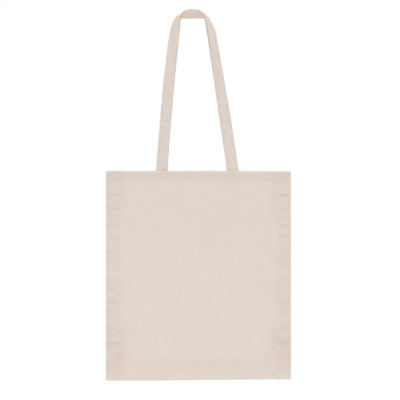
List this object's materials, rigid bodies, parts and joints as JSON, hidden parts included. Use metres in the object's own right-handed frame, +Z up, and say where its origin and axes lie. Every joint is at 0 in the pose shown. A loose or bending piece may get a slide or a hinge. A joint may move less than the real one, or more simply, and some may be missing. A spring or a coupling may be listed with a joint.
{
  "type": "canvas tote bag",
  "caption": "Flat canvas tote bag with a hemmed mouth and long strap handles that fold down over the hem.",
  "frame": {"origin": "the hang point, on the centre plane under the crowns of the two handles, 314 mm above the mouth", "axes": "+Z up, from the bottom seam to the handles; -Y out of the front panel; +X to the right seen from the front"},
  "size_m": [0.38, 0.0508, 0.7613],
  "materials": {
    "canvas": "natural plain-weave cotton canvas, matt",
    "strap": "natural cotton canvas folded into a strap, matt",
    "seam": "overlocked raw edges of the same canvas",
    "thread": "off-white cotton sewing thread"
  },
  "bodies": {
    "bag": {"back_panel": "canvas", "left_side_seam": "seam", "right_side_seam": "seam", "bottom_seam": "seam", "back_hem_stitching": "thread", "back_handle_left_end": "strap", "back_handle_right_end": "strap", "back_left_tack": "thread", "back_right_tack": "thread"},
    "front_side": {"front_panel": "canvas", "front_hem_stitching": "thread", "front_handle_left_end": "strap", "front_handle_right_end": "strap", "front_left_tack": "thread", "front_right_tack": "thread"},
    "front_handle": {"front_handle_loop": "strap", "front_handle_inner_stitching": "thread", "front_handle_outer_stitching": "thread"},
    "back_handle": {"back_handle_loop": "strap", "back_handle_inner_stitching": "thread", "back_handle_outer_stitching": "thread"}
  },
  "joints": [
    {"name": "mouth_opening", "type": "hinge", "parent": "bag", "child": "front_side", "pos_m": [0.0114, -0.00135, -0.744], "axis": [1, 0, 0], "range_deg": [0, 8]},
    {"name": "front_handle_fold", "type": "hinge", "parent": "front_side", "child": "front_handle", "pos_m": [0.0092, -0.0125, -0.3125], "axis": [1, 0, 0], "range_deg": [0, 170]},
    {"name": "back_handle_fold", "type": "hinge", "parent": "bag", "child": "back_handle", "pos_m": [0.0092, 0.0125, -0.3125], "axis": [-1, 0, 0], "range_deg": [0, 170]}
  ]
}
